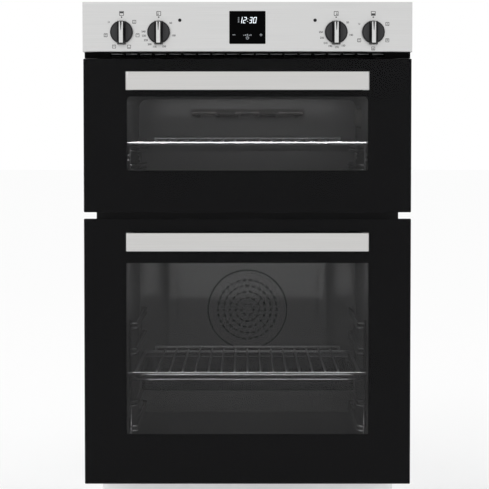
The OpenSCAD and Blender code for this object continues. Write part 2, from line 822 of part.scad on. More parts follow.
module pilot_lamps() color("black") {
    for (x = [-pilot_x, pilot_x]) {
        rod_y(-front_y - 1, -front_y + 3, x, pilot_z, pilot_r);
        rod_y(-front_y + fascia_t + 1, -bracket_y, x, pilot_z, pilot_r + 2);
    }
}

// A round base with a grip blade whose lower end stands out past the base
module knob(x) color("dimgray") {
    z = knob_z;
    y1 = -knob_y;
    y0 = y1 - knob_base_t;
    lean = 6;
    difference() {
        union() {
            rod_y(y0 + 1, y1, x, z, knob_r);
            translate([x, y0, z]) rotate([-90, 0, 0]) cylinder(h = 1, r1 = knob_r - 1, r2 = knob_r);
            rod_y(y1 - eps, -front_y + fascia_t + 2, x, z, shaft_r + 3);
            difference() {
                translate([x, 0, z - blade_down]) linear_extrude(blade_down + blade_up)
                    polygon([[-blade_w0 / 2, y0 + 1], [-blade_w1 / 2, -blade_y],
                        [blade_w1 / 2, -blade_y], [blade_w0 / 2, y0 + 1]]);
                // Both ends of the blade lean back
                for (end = [[0, blade_up], [180, blade_down]])
                    translate([x, -blade_y, z]) rotate([0, end[0], 0]) translate([0, 0, end[1] - 1.5])
                        rotate([lean, 0, 0]) block(-blade_w0, blade_w0, -5, 30, 0, 30);
            }
        }
        // Seat for the bright insert
        block(x - insert_w / 2, x + insert_w / 2, -blade_y - 1, -blade_y + 2,
            z - insert_down, z + insert_up);
        rod_y(y0 - 5, -front_y + fascia_t + 3, x, z, shaft_r);
    }
}

// The bright strip along a knob's blade, highest at its middle, with a pointer groove in its upper half
module knob_insert(x) color("silver") {
    z0 = knob_z - insert_down;
    z1 = knob_z + insert_up;
    fall = 1;
    difference() {
        plate_x(x - insert_w / 2, x + insert_w / 2) polygon([[-blade_y + 2, z0],
            [-insert_y + fall, z0], [-insert_y, knob_z], [-insert_y + fall, z1], [-blade_y + 2, z1]]);
        plate_y(-insert_y - 1, -insert_y + fall + 0.8)
            polygon([[x - 1.8, z1 + 1], [x + 1.8, z1 + 1], [x + 0.4, knob_z + 1], [x - 0.4, knob_z + 1]]);
    }
}

module knob_shaft(x) color("silver") {
    rod_y(-knob_y - knob_base_t - 5, -bracket_y + bracket_t + 16, x, knob_z, shaft_r);
}

// ---- Hinges ----

// The fixed half: arms that reach forward through the frame, and the sockets that hold them
module hinge_arms() color("gray") {
    for (side = [-1, 1], d = [LOWER, UPPER]) {
        pin_z = d[0] + pin_up;
        x = side * hinge_x;
        difference() {
            union() {
                plate_x(x - arm_t / 2, x + arm_t / 2) union() {
                    translate([-hinge_y, pin_z]) circle(eye_r);
                    translate([-hinge_y, pin_z - 6]) square([hinge_y + arm_end, 12]);
                }
                rod_x(x - arm_t / 2 - 3, x + arm_t / 2 + 3, arm_end - 6, pin_z, 3);
                for (s = [-1, 1]) {
                    cheek = x + s * (arm_t / 2 + 3);
                    block(cheek - 0.8, cheek + 0.8, 0, arm_end + 4, pin_z - 10, pin_z + 28);
                }
                block(x - arm_t / 2 - 3, x + arm_t / 2 + 3, arm_end + 2.4, arm_end + 4,
                    pin_z - 10, pin_z + 28);
            }
            rod_x(x - arm_t, x + arm_t, -hinge_y, pin_z, pin_r + play);
        }
    }
}

// The door's half of each hinge: two cheeks and the pin between them, with the spring's tube
module hinge_bodies(d) color("gray") {
    pin_z = d[0] + pin_up;
    inner = arm_t / 2 + 2;
    cheek_t = 2;
    cheek_h = 110;
    y0 = -glass_back + 4;
    y1 = -rear_y - profile_t;
    for (side = [-1, 1]) {
        x = side * hinge_x;
        for (s = [-1, 1]) {
            a = x + (s > 0 ? inner : -inner - cheek_t);
            block(a, a + cheek_t, y0, y1, pin_z - 10, pin_z + cheek_h);
        }
        rod_x(x - inner - cheek_t, x + inner + cheek_t, -hinge_y, pin_z, pin_r);
        rod_x(x - inner - cheek_t, x + inner + cheek_t, -hinge_y, pin_z + cheek_h - 14, 3);
        rod_z(pin_z + 22, pin_z + cheek_h - 14, x, -hinge_y, 2.2);
        rod_z(pin_z + 30, pin_z + cheek_h - 24, x, -hinge_y, inner - 0.4);
    }
}

// ---- Doors ----

module outer_glass(d) color([0.09, 0.09, 0.1]) {
    difference() {
        plate_y(-front_y, -glass_back) rounded(-door_x, door_x, d[0], d[1], 2);
        for (x = [-handle_x + post_w / 2, handle_x - post_w / 2])
            rod_y(-front_y - 1, -glass_back + 1, x, handle_z(d), screw_r);
    }
}

module inner_glass(d) color([0.3, 0.33, 0.34]) {
    plate_y(-rear_y - pane_t, -rear_y) rounded(-profile_x0, profile_x0, d[0] + pane_up, d[1] - trim_h, 2);
}

module middle_glass(d) color([0.35, 0.38, 0.39]) {
    y1 = -hinge_y + 1;
    plate_y(y1 - middle_t, y1) rounded(-profile_x0, profile_x0, d[0] + pane_up + 6, d[1] - trim_h, 2);
}

// Steel channels up both sides of a door, slotted for the hinge arms
module door_profiles(d) color("darkgray") {
    z0 = d[0] + hem_up;
    z1 = d[1] - trim_h;
    t = profile_t;
    both_sides() difference() {
        block(profile_x0, profile_x1, -glass_back, -rear_y, z0, z1);
        block(profile_x0 + t, profile_x1 - t, -glass_back - 1, -rear_y - t, z0 - 1, z1 + 1);
        block(hinge_x - arm_t / 2 - 1.5, hinge_x + arm_t / 2 + 1.5, -rear_y - t - 1, -rear_y + 1,
            z0 - 1, d[0] + pin_up + slot_up);
    }
}

// Black trims that close a door's top, with slots for cooling air, and its lower edge
module door_trims(d) color("black") {
    t = 2;
    x = profile_x1;
    z1 = d[1] - 2;
    slots = 14;
    pitch = (2 * x - 40) / slots;
    difference() {
        block(-x, x, -glass_back, -rear_y, d[1] - trim_h, z1);
        block(-x + t, x - t, -glass_back + t, -rear_y - t, d[1] - trim_h - 1, z1 - t);
        for (i = [0 : slots - 1])
            translate([-x + 20 + (i + 0.5) * pitch, -(glass_back + rear_y) / 2, z1 - t - 1])
                linear_extrude(t + 2) slot(pitch - 8, 8);
    }
    block(-profile_x0, profile_x0, -rear_y - t, -rear_y, d[0] + hem_up, d[0] + pane_up);
    block(-profile_x0, profile_x0, -glass_back, -rear_y - t + eps, d[0] + hem_up, d[0] + hem_up + t);
}

// A flat bar bent back at both ends to stand on the glass
module handle(d) color("lightgray") {
    z0 = d[1] - handle_down - handle_h;
    bore_y = front_y + 14;
    difference() {
        plate_z(z0, z0 + handle_h) difference() {
            union() {
                rounded(-handle_x, handle_x, -handle_y, -front_y - 6, 4);
                for (x = [-handle_x, handle_x - post_w]) translate([x, -front_y - 12]) square([post_w, 12]);
            }
            rounded(-handle_x + post_w, handle_x - post_w, -bar_y, -front_y + 10, 3);
        }
        for (x = [-handle_x + post_w / 2, handle_x - post_w / 2])
            rod_y(-bore_y, -front_y + 1, x, handle_z(d), screw_r);
    }
}

// Screws that hold the handle from behind the glass
module door_screws(d) color("silver") {
    for (x = [-handle_x + post_w / 2, handle_x - post_w / 2]) {
        rod_y(-front_y - 13, -glass_back + 1, x, handle_z(d), screw_r);
        rod_y(-glass_back, -glass_back + 3, x, handle_z(d), 2 * screw_r);
    }
}

module body_screws() color("silver") {
    head_h = 1.6;
    for (x = [-panel_x + 12, panel_x - 12], z = [40 : (casing_z1 - 80) / 3 : casing_z1 - 30])
        rod_y(casing_d, casing_d + head_h, x, z, 4);
    for (x = [-casing_x + 20, casing_x - 20], y = [60, casing_d - 60])
        rod_z(casing_z1, casing_z1 + head_h, x, y, 4);
}

base_plate();
left_side_panel();
right_side_panel();
rear_panel();
top_cover();
front_frame();
main_cavity();
grill_cavity();
insulation();
door_seals();
fan_cover();
fan_motors();
ring_element();
grill_element();
oven_lamps();
main_racks();
grill_racks();
control_fascia();
control_bracket();
display_glass();
timer_module();
switch_bodies();
pilot_lamps();
air_outlet();
cooling_duct();
terminal_box();
hinge_arms();
body_screws();
convection_fan();
cooling_wheel();
main_shelf();
baking_tray();
grill_shelf();
knob(KNOB_XS[0]);  // grill_mode_knob
knob_insert(KNOB_XS[0]);  // grill_mode_insert
knob_shaft(KNOB_XS[0]);  // grill_mode_shaft
knob(KNOB_XS[1]);  // grill_temp_knob
knob_insert(KNOB_XS[1]);  // grill_temp_insert
knob_shaft(KNOB_XS[1]);  // grill_temp_shaft
knob(KNOB_XS[2]);  // main_temp_knob
knob_insert(KNOB_XS[2]);  // main_temp_insert
knob_shaft(KNOB_XS[2]);  // main_temp_shaft
knob(KNOB_XS[3]);  // main_mode_knob
knob_insert(KNOB_XS[3]);  // main_mode_insert
knob_shaft(KNOB_XS[3]);  // main_mode_shaft
outer_glass(UPPER);  // upper_outer_glass
inner_glass(UPPER);  // upper_inner_glass
door_profiles(UPPER);  // upper_door_profiles
door_trims(UPPER);  // upper_door_trims
handle(UPPER);  // upper_handle
hinge_bodies(UPPER);  // upper_hinge_bodies
door_screws(UPPER);  // upper_door_screws
outer_glass(LOWER);  // lower_outer_glass
middle_glass(LOWER);  // lower_middle_glass
inner_glass(LOWER);  // lower_inner_glass
door_profiles(LOWER);  // lower_door_profiles
door_trims(LOWER);  // lower_door_trims
handle(LOWER);  // lower_handle
hinge_bodies(LOWER);  // lower_hinge_bodies
door_screws(LOWER);  // lower_door_screws
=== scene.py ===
"""Looks for the built-in double oven: materials, glass and fascia prints, knobs, lights and camera.

Everything is in metres in the oven's own frame: X to the right, Y into the cabinet and Z up.
Places come from the frame's node boxes, so the pieces follow the model.
"""
import json
import math

import bmesh
import bpy
from mathutils import Matrix, Vector


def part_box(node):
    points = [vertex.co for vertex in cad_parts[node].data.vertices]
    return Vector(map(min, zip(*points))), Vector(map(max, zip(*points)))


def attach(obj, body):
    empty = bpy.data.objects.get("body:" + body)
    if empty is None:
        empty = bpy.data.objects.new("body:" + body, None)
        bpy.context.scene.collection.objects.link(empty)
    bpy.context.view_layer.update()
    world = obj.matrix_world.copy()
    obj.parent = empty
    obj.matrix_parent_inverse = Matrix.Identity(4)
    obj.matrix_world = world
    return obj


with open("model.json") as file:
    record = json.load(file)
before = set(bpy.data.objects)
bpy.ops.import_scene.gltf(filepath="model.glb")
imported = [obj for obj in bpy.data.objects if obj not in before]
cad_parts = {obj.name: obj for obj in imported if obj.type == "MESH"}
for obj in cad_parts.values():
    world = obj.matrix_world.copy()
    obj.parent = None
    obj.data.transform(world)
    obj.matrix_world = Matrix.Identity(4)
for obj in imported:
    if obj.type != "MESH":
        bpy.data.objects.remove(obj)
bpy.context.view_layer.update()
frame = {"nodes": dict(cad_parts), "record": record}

NODES = frame["nodes"]
MM = 0.001
SLOT_OF = {part["node"]: part["material_slot"] for part in frame["record"]["subparts"]}
KNOBS = ("grill_mode", "grill_temp", "main_temp", "main_mode")
# How far a knob's grip stands in front of its face
GRIP_DEPTH = 13 * MM


# ---------------------------------------------------------------- helpers for materials

def new_material(name, color, roughness, metallic=0.0, **sockets):
    """A Principled material; sockets are its other inputs, with _ for the spaces in their names."""
    material = bpy.data.materials.new(name)
    material.use_nodes = True
    shader = material.node_tree.nodes["Principled BSDF"]
    shader.inputs["Base Color"].default_value = (*color, 1)
    shader.inputs["Roughness"].default_value = roughness
    shader.inputs["Metallic"].default_value = metallic
    for key, value in sockets.items():
        shader.inputs[key.replace("_", " ")].default_value = value
    return material


def node_of(material, kind, **inputs):
    """A new shader node with some of its inputs set."""
    node = material.node_tree.nodes.new(kind)
    for key, value in inputs.items():
        node.inputs[key.replace("_", " ")].default_value = value
    return node


def link(material, source, target):
    material.node_tree.links.new(source, target)


def shader_of(material):
    return material.node_tree.nodes["Principled BSDF"]


def object_position(material, stretch):
    """The point on the object, stretched along each axis."""
    where = node_of(material, "ShaderNodeTexCoord")
    mapping = node_of(material, "ShaderNodeMapping", Scale=stretch)
    link(material, where.outputs["Object"], mapping.inputs["Vector"])
    return mapping.outputs["Vector"]


def noise(material, stretch, detail=3.0):
    """Noise from 0 to 1; stretch is how many features there are in a metre along each axis."""
    texture = node_of(material, "ShaderNodeTexNoise", Scale=1.0, Detail=detail)
    link(material, object_position(material, stretch), texture.inputs["Vector"])
    return texture.outputs["Fac"]


def cells(material, per_metre, output="Color"):
    """Random cells, each with one colour, or the distance from the cells' middles."""
    texture = node_of(material, "ShaderNodeTexVoronoi", Scale=1.0)
    link(material, object_position(material, (per_metre,) * 3), texture.inputs["Vector"])
    return texture.outputs[output]


def ramp(material, factor, stops):
    """Colours along a factor; stops are (place, colour)."""
    node = node_of(material, "ShaderNodeValToRGB")
    link(material, factor, node.inputs["Fac"])
    elements = node.color_ramp.elements
    while len(elements) < len(stops):
        elements.new(0.5)
    for element, (place, color) in zip(elements, stops):
        element.position = place
        element.color = (*color, 1)
    return node.outputs["Color"]


def tint(material, factor, stops):
    link(material, ramp(material, factor, stops), shader_of(material).inputs["Base Color"])


def vary_roughness(material, factor, low, high):
    spread = node_of(material, "ShaderNodeMapRange", To_Min=low, To_Max=high)
    link(material, factor, spread.inputs["Value"])
    link(material, spread.outputs["Result"], shader_of(material).inputs["Roughness"])


def emboss(material, factor, strength, distance):
    bump = node_of(material, "ShaderNodeBump", Strength=strength, Distance=distance)
    link(material, factor, bump.inputs["Height"])
    link(material, bump.outputs["Normal"], shader_of(material).inputs["Normal"])


# ---------------------------------------------------------------- materials

def brushed(name, shade, roughness=0.34, warmth=0.0):
    """Stainless steel with fine brushing along X."""
    hue = (1.0, 1.0 - 0.4 * warmth, 0.995 - warmth)
    material = new_material(name, tuple(shade * c for c in hue), roughness, 1.0)
    streaks = noise(material, (9, 700, 2600), detail=4)
    low, high = shade * 0.94, min(1.0, shade * 1.05)
    tint(material, streaks, [(0.3, tuple(low * c for c in hue)), (0.7, tuple(high * c for c in hue))])
    vary_roughness(material, streaks, roughness - 0.08, roughness + 0.1)
    emboss(material, streaks, 0.12, 0.0002)
    return material


def enamel(name, base, speck, roughness=0.16, gloss=0.5):
    """Glossy vitreous enamel with fine pale specks and a slight orange peel."""
    material = new_material(name, base, roughness, Specular_IOR_Level=gloss, Coat_Weight=0.1,
                            Coat_Roughness=0.15)
    spots = cells(material, 900, "Distance")
    tint(material, spots, [(0.05, speck), (0.13, base)])
    emboss(material, noise(material, (110, 110, 110), detail=2), 0.08, 0.001)
    return material


def galvanised():
    """Zinc-coated sheet with its spangle."""
    material = new_material("galvanised_sheet", (0.6, 0.61, 0.62), 0.42, 1.0)
    spangle = cells(material, 120)
    tint(material, spangle, [(0.1, (0.55, 0.56, 0.57)), (0.9, (0.65, 0.66, 0.67))])
    vary_roughness(material, noise(material, (160, 160, 160)), 0.32, 0.52)
    emboss(material, noise(material, (500, 500, 500)), 0.05, 0.0003)
    return material


def plastic(name, shade, roughness, gloss=0.5):
    """Moulded plastic with a fine spark-eroded grain."""
    material = new_material(name, shade, roughness, Specular_IOR_Level=gloss)
    texture = noise(material, (900, 900, 900), detail=2)
    vary_roughness(material, texture, roughness - 0.07, roughness + 0.1)
    emboss(material, texture, 0.12, 0.0003)
    return material


def knob_plastic():
    """Satin plastic: a grey face, a darker edge and a near-black grip, told apart by their depth; the
    grip's near-black is painted shade on its flanks.
    """
    material = plastic("knob_plastic", (0.05, 0.05, 0.052), 0.4, gloss=0.12)
    low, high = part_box("grill_mode_knob")
    where = node_of(material, "ShaderNodeTexCoord")
    split = node_of(material, "ShaderNodeSeparateXYZ")
    link(material, where.outputs["Object"], split.inputs["Vector"])
    depth = node_of(material, "ShaderNodeMapRange", From_Min=low[1], From_Max=high[1])
    link(material, split.outputs["Y"], depth.inputs["Value"])
    length = high[1] - low[1]
    face_rounding = 0.9 * MM
    face = GRIP_DEPTH / length
    edge = (GRIP_DEPTH + face_rounding) / length
    # The grip's near-black is painted shade: its sloping flanks beside the bright strip are coloured as if
    # in shadow.
    black, grey, dark = (0.002, 0.002, 0.0025), (0.05, 0.05, 0.052), (0.010, 0.010, 0.011)
    tint(material, depth.outputs["Result"],
         [(face - 0.02, black), (face, grey), (edge - 0.01, grey), (edge, dark)])
    return material


def metal(name, shade, roughness, wear=0.08):
    """Plain metal whose tone drifts a little."""
    material = new_material(name, shade, roughness, 1.0)
    drift = noise(material, (60, 60, 60))
    dark = tuple(c * (1 - wear) for c in shade)
    tint(material, drift, [(0.35, dark), (0.65, shade)])
    vary_roughness(material, noise(material, (300, 300, 300)), roughness - 0.05, roughness + 0.08)
    return material


def heater():
    """Steel tube that heat has darkened and blued in places."""
    material = new_material("heater_tube", (0.07, 0.068, 0.07), 0.55, 0.3)
    tint(material, noise(material, (40, 40, 40)),
         [(0.3, (0.055, 0.053, 0.056)), (0.55, (0.085, 0.08, 0.076)), (0.75, (0.065, 0.067, 0.075))])
    emboss(material, noise(material, (900, 900, 900)), 0.2, 0.0002)
    return material


def clear_glass(name, color, alpha, roughness=0.03, gloss=0.5):
    """Glass by transparency, with the same gloss all over."""
    material = new_material(name, color, roughness, Alpha=alpha, IOR=1.5, Specular_IOR_Level=gloss)
    emboss(material, noise(material, (3, 3, 3), detail=1), 0.02, 0.002)
    return material


def wool():
    """Mineral wool, with its fibres along Y."""
    material = new_material("mineral_wool", (0.6, 0.53, 0.33), 0.95)
    fibre = noise(material, (500, 120, 500), detail=6)
    tint(material, fibre, [(0.3, (0.42, 0.36, 0.2)), (0.7, (0.74, 0.67, 0.45))])
    emboss(material, fibre, 0.8, 0.002)
    return material


def circuit_board():
    """Green lacquer with a fine pattern of tracks."""
    material = new_material("timer_board", (0.03, 0.12, 0.05), 0.5)
    tint(material, cells(material, 400), [(0.4, (0.02, 0.09, 0.035)), (0.6, (0.035, 0.15, 0.06))])
    return material


MATERIALS = {
    "galvanised": galvanised(),
    "frame_black": plastic("frame_paint", (0.008, 0.008, 0.009), 0.42, gloss=0.2),
    "enamel": enamel("grey_enamel", (0.128, 0.128, 0.130), (0.22, 0.22, 0.225), 0.42, 0.3),
    "tray_enamel": enamel("black_enamel", (0.035, 0.035, 0.038), (0.12, 0.12, 0.125), 0.25),
    "wool": wool(),
    "seal": plastic("silicone_seal", (0.05, 0.05, 0.052), 0.6),
    "motor": plastic("motor_paint", (0.10, 0.105, 0.11), 0.4),
    "element": heater(),
    "lamp_glass": clear_glass("lamp_glass", (0.20, 0.20, 0.19), 0.5, 0.2, gloss=0.3),
    "wire_chrome": metal("chromed_wire", (0.46, 0.46, 0.47), 0.34, 0.04),
    "rack_wire": metal("rack_rod", (0.22, 0.22, 0.225), 0.42),
    "stainless": brushed("brushed_stainless", 0.64),
    "handle_steel": brushed("brushed_handle", 0.60, 0.36, 0.02),
    "knob_steel": brushed("bright_strip", 0.66, 0.3),
    "knob_black": knob_plastic(),
    "door_glass": clear_glass("smoked_door_glass", (0.004, 0.004, 0.0045), 0.30, gloss=0.3),
    "pane_glass": clear_glass("inner_pane", (0.62, 0.62, 0.625), 0.03, gloss=0.3),
    "display_glass": new_material("display_glass", (0.001, 0.001, 0.0012), 0.06,
                                  Specular_IOR_Level=0.02),
    "board": circuit_board(),
    "switch_plastic": plastic("switch_plastic", (0.62, 0.58, 0.46), 0.45),
    "black_plastic": plastic("black_plastic", (0.008, 0.008, 0.009), 0.45, gloss=0.15),
    "vent_black": plastic("louvre_black", (0.002, 0.002, 0.002), 0.7, gloss=0.03),
    "hardware": metal("zinc_plated", (0.55, 0.55, 0.53), 0.34),
    # The fan is coloured near-black as painted shade of its dark compartment behind the cover, not in its
    # own metal's tone.
    "fan_aluminium": metal("fan_metal_painted_shade", (0.04, 0.04, 0.042), 0.5),
}
FRIT = new_material("black_glass_print", (0.0025, 0.0025, 0.003), 0.6, Specular_IOR_Level=0.0)
PRINT = new_material("dark_print", (0.012, 0.012, 0.014), 0.6, Specular_IOR_Level=0.2)
FIGURES = new_material("lit_figures", (0.8, 0.85, 0.9), 0.5, Emission_Color=(0.85, 0.92, 1, 1),
                       Emission_Strength=0.7)
# The timer's printed marks get a faint emission: painted glow, as print gives no light.
PAINTED_GLOW_PRINT = new_material("printed_figures_painted_glow", (0.22, 0.23, 0.25), 0.5,
                            Emission_Color=(0.6, 0.65, 0.7, 1), Emission_Strength=0.12)


# ---------------------------------------------------------------- helpers for pieces

def soften(name, width, segments=2, angle=35):
    """Rounds the sharp edges of a CAD node, which stays as it is underneath."""
    node = NODES[name]
    weld = node.modifiers.new("weld", "WELD")
    weld.merge_threshold = 0.00001
    bevel = node.modifiers.new("round_edges", "BEVEL")
    bevel.width = width
    bevel.segments = segments
    bevel.limit_method = "ANGLE"
    bevel.angle_limit = math.radians(angle)
    bevel.harden_normals = False


def middle(name):
    low, high = (Vector(corner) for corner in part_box(name))
    return (low + high) / 2


def rectangle(x0, x1, z0, z1):
    return [(x0, z0), (x1, z0), (x1, z1), (x0, z1)]


def round_rectangle(x0, x1, z0, z1, radius, steps=6):
    """A rectangle with round corners, each in that many steps."""
    corners = [(x1 - radius, z0 + radius, -90), (x1 - radius, z1 - radius, 0),
               (x0 + radius, z1 - radius, 90), (x0 + radius, z0 + radius, 180)]
    points = []
    for cx, cz, start in corners:
        for i in range(steps + 1):
            angle = math.radians(start + 90 * i / steps)
            points.append((cx + radius * math.cos(angle), cz + radius * math.sin(angle)))
    return points


def disc(x, z, radius, steps=20):
    return [(x + radius * math.cos(math.tau * i / steps), z + radius * math.sin(math.tau * i / steps))
            for i in range(steps)]


def stroke(x0, z0, x1, z1, width):
    """A straight line with a width, as an outline."""
    along = Vector((x1 - x0, z1 - z0)).normalized() * (width / 2)
    side = Vector((-along.y, along.x))
    a, b = Vector((x0, z0)), Vector((x1, z1))
    return [tuple(p) for p in (a - side, b - side, b + side, a + side)]


def evaluated_mesh(shape):
    """The mesh that a curve or text object makes; the object itself is removed."""
    bpy.context.scene.collection.objects.link(shape)
    bpy.context.view_layer.update()
    mesh = bpy.data.meshes.new_from_object(shape.evaluated_get(bpy.context.evaluated_depsgraph_get()))
    bpy.data.objects.remove(shape)
    return mesh


def link_piece(name, mesh, material, body):
    """Puts a mesh in the scene as a piece of one material that rides on a body."""
    mesh.name = name
    mesh.materials.clear()
    mesh.materials.append(material)
    piece = bpy.data.objects.new(name, mesh)
    bpy.context.scene.collection.objects.link(piece)
    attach(piece, body)


def flat_piece(name, loops, y, thickness, material, body):
    """A flat piece that faces the front: outlines in X and Z, where a loop inside another is a hole."""
    curve = bpy.data.curves.new(name, "CURVE")
    curve.dimensions = "2D"
    curve.fill_mode = "BOTH"
    curve.extrude = thickness / 2
    for loop in loops:
        spline = curve.splines.new("POLY")
        spline.points.add(len(loop) - 1)
        for point, (x, z) in zip(spline.points, loop):
            point.co = (x, z, 0, 1)
        spline.use_cyclic_u = True
    mesh = evaluated_mesh(bpy.data.objects.new(name + "_outline", curve))
    mesh.transform(Matrix.Translation((0, y + thickness / 2, 0)) @ Matrix.Rotation(math.pi / 2, 4, "X"))
    link_piece(name, mesh, material, body)


def figures(name, texts, y, material, body):
    """Numbers that face the front; texts are (words, x, z, height)."""
    whole = bmesh.new()
    for words, x, z, height in texts:
        curve = bpy.data.curves.new(name, "FONT")
        curve.body = words
        curve.size = height * 1.4
        curve.align_x = "CENTER"
        curve.align_y = "CENTER"
        curve.extrude = 0.03 * MM
        curve.offset = 0.09 * MM
        curve.resolution_u = 3
        part = evaluated_mesh(bpy.data.objects.new(name + "_text", curve))
        part.transform(Matrix.Translation((x, y, z)) @ Matrix.Rotation(math.pi / 2, 4, "X"))
        whole.from_mesh(part)
        bpy.data.meshes.remove(part)
    mesh = bpy.data.meshes.new(name)
    whole.to_mesh(mesh)
    whole.free()
    link_piece(name, mesh, material, body)


# ---------------------------------------------------------------- finishes of the CAD nodes

for node_name, node in NODES.items():
    node.data.materials.clear()
    node.data.materials.append(MATERIALS[SLOT_OF[node_name]])

# Widths of the rounded edges, in millimetres
EDGE_WIDTHS = {
    "upper_outer_glass": 0.7, "lower_outer_glass": 0.7, "upper_handle": 0.8, "lower_handle": 0.8,
    "display_glass": 0.4, "base_plate": 0.2, "top_cover": 0.2,
}
for node_name, width in EDGE_WIDTHS.items():
    soften(node_name, width * MM)
for knob in KNOBS:
    soften(knob + "_knob", 0.6 * MM, 3)
    soften(knob + "_insert", 0.25 * MM)


# ---------------------------------------------------------------- doors

PRINT_T = 0.3 * MM
GLASS_R = 2 * MM
WINDOW_R = 2 * MM
# For each window: its foot above the glass's foot, its top below the glass's top, and half its width
WINDOWS = {
    "upper": (75.7 * MM, 68.3 * MM, 218 * MM),
    "lower": (91.1 * MM, 80.6 * MM, 220 * MM),
}


def door_print(side, foot, drop, half):
    """The black print in the back of a door's glass, clear at the window."""
    low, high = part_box(side + "_outer_glass")
    inset = 0.1 * MM
    behind = 0.05 * MM
    outer = round_rectangle(low[0] + inset, high[0] - inset, low[2] + inset, high[2] - inset, GLASS_R)
    hole = round_rectangle(-half, half, low[2] + foot, high[2] - drop, WINDOW_R)
    flat_piece(side + "_glass_print", [outer, hole], high[1] - PRINT_T - behind, PRINT_T, FRIT,
               side + "_door")


for door_side, window in WINDOWS.items():
    door_print(door_side, *window)


# ---------------------------------------------------------------- timer's figures

DIGIT_SEGMENTS = {"0": "abcdef", "2": "abged", "3": "abgcd"}


def seven_segment(text, x0, z0, width, height, gap, line):
    """Outlines of slanted seven-segment figures, from the left edge and the foot of the first."""
    slant = 0.16
    loops = []

    def lean(points):
        return [(x + (z - z0) * slant, z) for x, z in points]

    x = x0
    for sign in text:
        if sign == ":":
            for share in (0.3, 0.7):
                loops.append(lean(rectangle(x, x + line, z0 + share * height - line / 2,
                                            z0 + share * height + line / 2)))
            x += line + gap
            continue
        if sign == "1":
            loops.append(lean(rectangle(x, x + line, z0, z0 + height)))
            x += line + gap
            continue
        half = height / 2
        right = x + width - line
        bars = {
            "a": (x, z0 + height - line, width, line), "g": (x, z0 + half - line / 2, width, line),
            "d": (x, z0, width, line), "f": (x, z0 + half, line, half), "b": (right, z0 + half, line, half),
            "e": (x, z0, line, half), "c": (right, z0, line, half),
        }
        for key in DIGIT_SEGMENTS[sign]:
            bx, bz, bw, bh = bars[key]
            trim = line * 0.12
            if bw > bh:
                loops.append(lean(rectangle(bx + line * 1.1, bx + bw - line * 1.1, bz, bz + bh)))
            else:
                loops.append(lean(rectangle(bx, bx + bw, bz + trim, bz + bh - trim)))
        x += width + gap
    return loops


def timer_display():
    """The time, three small rings beside it, the two keys, and a row of bars over a clock face."""
    low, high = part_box("display_glass")
    thickness = 0.1 * MM
    y = low[1] - 0.12 * MM
    cx, top = (low[0] + high[0]) / 2, high[2]
    digit_w, digit_h, digit_gap, digit_line = 5.6 * MM, 10.9 * MM, 2 * MM, 0.95 * MM
    digits = seven_segment("12:30", cx - 11.4 * MM, top - 21.8 * MM, digit_w, digit_h, digit_gap,
                           digit_line)
    flat_piece("timer_digits", digits, y, thickness, FIGURES, "cabinet")
    marks = []
    ring_x, ring_pitch = cx - 15.9 * MM, 3.6 * MM
    for i in range(3):
        z = top - 12.2 * MM - ring_pitch * i
        marks += [disc(ring_x, z, 1.3 * MM, 12), disc(ring_x, z, 0.6 * MM, 12)]
    key_z, key_x, arm, half_line = top - 42.7 * MM, 24.4 * MM, 2.6 * MM, 0.55 * MM
    for x in (cx - key_x, cx + key_x):
        marks.append(rectangle(x - arm, x + arm, key_z - half_line, key_z + half_line))
    for end in (1, -1):
        z0, z1 = sorted((key_z + end * half_line, key_z + end * arm))
        marks.append(rectangle(cx + key_x - half_line, cx + key_x + half_line, z0, z1))
    bar_pitch, half_bar = 3.2 * MM, 0.9 * MM
    for i in range(5):
        x = cx + (i - 2) * bar_pitch
        marks.append(rectangle(x - half_bar, x + half_bar, key_z - 1.5 * MM, key_z + (i % 3) * 0.7 * MM))
    clock_z, hand = key_z - 5.6 * MM, 0.35 * MM
    marks += [disc(cx, clock_z, 2.8 * MM), disc(cx, clock_z, 1.9 * MM)]
    marks.append(rectangle(cx - hand, cx + hand, clock_z - 0.3 * MM, clock_z + 1.4 * MM))
    # These marks glow faintly by painted glow in their material.
    flat_piece("timer_marks", marks, y, thickness, PAINTED_GLOW_PRINT, "cabinet")


timer_display()


# ---------------------------------------------------------------- marks round the knobs

FASCIA_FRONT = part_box("control_fascia")[0][1]
PRINT_Y = FASCIA_FRONT - 0.06 * MM
MARK_T = 0.05 * MM
# The small signs: half the frame's size, and the widths of its line and of the bars
SIGN_HALF, SIGN_LINE, BAR_LINE = 3.3 * MM, 0.75 * MM, 0.7 * MM
BAR_HALF, BAR_UP = 1.7 * MM, 1.5 * MM
# How far from a knob's middle its signs, figures, dot and heading stand
SIGN_RADIUS, FIGURE_RADIUS, DOT_UP, HEADING_UP = 29.3 * MM, 26 * MM, 26.9 * MM, 33.5 * MM
FIGURE_H = 3.4 * MM


def sign_frame(x, z):
    """The outline of an oven, which most signs have."""
    half = SIGN_HALF
    clear = half - SIGN_LINE
    return [round_rectangle(x - half, x + half, z - half, z + half, half * 0.25, 3),
            round_rectangle(x - clear, x + clear, z - clear, z + clear, half * 0.2, 3)]


def top_bar(x, z):
    return [stroke(x - BAR_HALF, z + BAR_UP, x + BAR_HALF, z + BAR_UP, BAR_LINE)]


def bottom_bar(x, z):
    return [stroke(x - BAR_HALF, z - BAR_UP, x + BAR_HALF, z - BAR_UP, BAR_LINE)]


def fan_sign(x, z):
    """A hub with three round blades."""
    loops = [disc(x, z, 0.35 * MM, 8)]
    reach = 1.05 * MM
    for i in range(3):
        angle = math.radians(90 + 120 * i)
        loops.append(disc(x + reach * math.cos(angle), z + reach * math.sin(angle), 0.6 * MM, 10))
    return loops


def zigzag(x, z):
    points = [(x + (i - 2) * 0.85 * MM, z + (1.6 if i % 2 else 0.6) * MM) for i in range(5)]
    return [stroke(*a, *b, 0.45 * MM) for a, b in zip(points, points[1:])]


